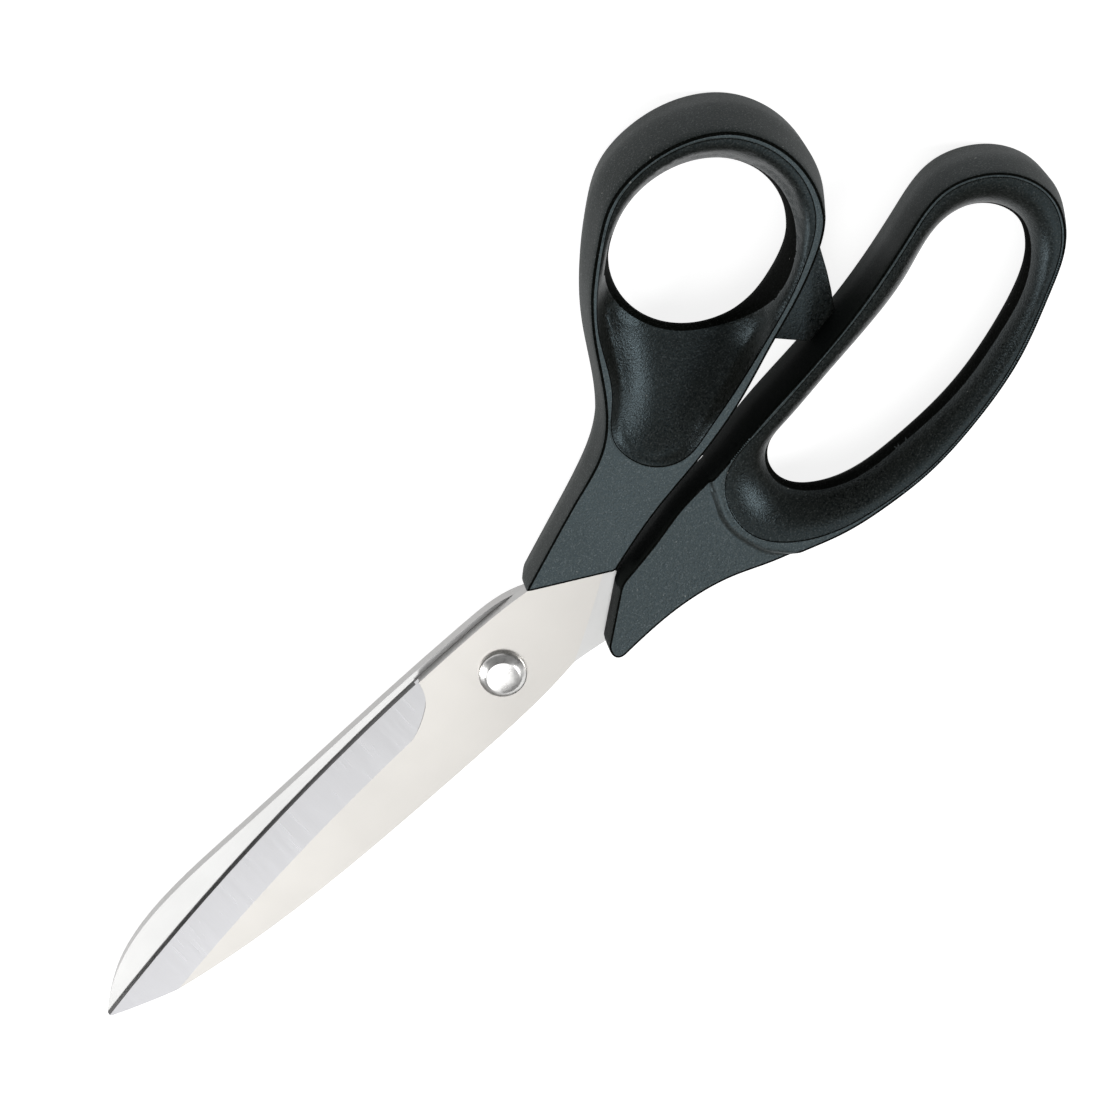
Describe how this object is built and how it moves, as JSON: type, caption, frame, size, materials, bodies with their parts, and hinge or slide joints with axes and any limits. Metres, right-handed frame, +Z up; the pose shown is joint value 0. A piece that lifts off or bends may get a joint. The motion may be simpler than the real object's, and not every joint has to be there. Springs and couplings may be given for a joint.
{
  "type": "fabric shears",
  "caption": "Dressmaking shears with two steel blades, offset moulded handles and an adjustable pivot screw and nut.",
  "frame": {"origin": "centre of the closed shears' outline, on the table they lie on", "axes": "+X from the blade tips to the handles, +Y towards the thumb bow, +Z up, along the pivot axis"},
  "size_m": [0.2122, 0.074, 0.017],
  "materials": {
    "blade_steel": "satin ground stainless steel",
    "handle_plastic": "finely grained moulded plastic",
    "pivot_steel": "polished steel",
    "nut_steel": "turned steel",
    "spring_steel": "spring steel",
    "liner_nylon": "natural nylon"
  },
  "bodies": {
    "finger_side": {"finger_handle": "handle_plastic", "back_blade": "blade_steel", "liner_washer": "liner_nylon"},
    "thumb_side": {"thumb_handle": "handle_plastic", "front_blade": "blade_steel", "pivot_screw": "pivot_steel", "spring_washer": "spring_steel"},
    "nut": {"pivot_nut": "nut_steel"}
  },
  "joints": [
    {"name": "blade_pivot", "type": "hinge", "parent": "finger_side", "child": "thumb_side", "pos_m": [-0.01353, -0.01401, 0.0078], "axis": [0, 0, 1], "range_deg": [0, 60]},
    {"name": "tension_adjust", "type": "hinge", "parent": "thumb_side", "child": "nut", "pos_m": [-0.01353, -0.01401, 0.0035], "axis": [0, 0, 1], "range_deg": [-60, 60]}
  ]
}
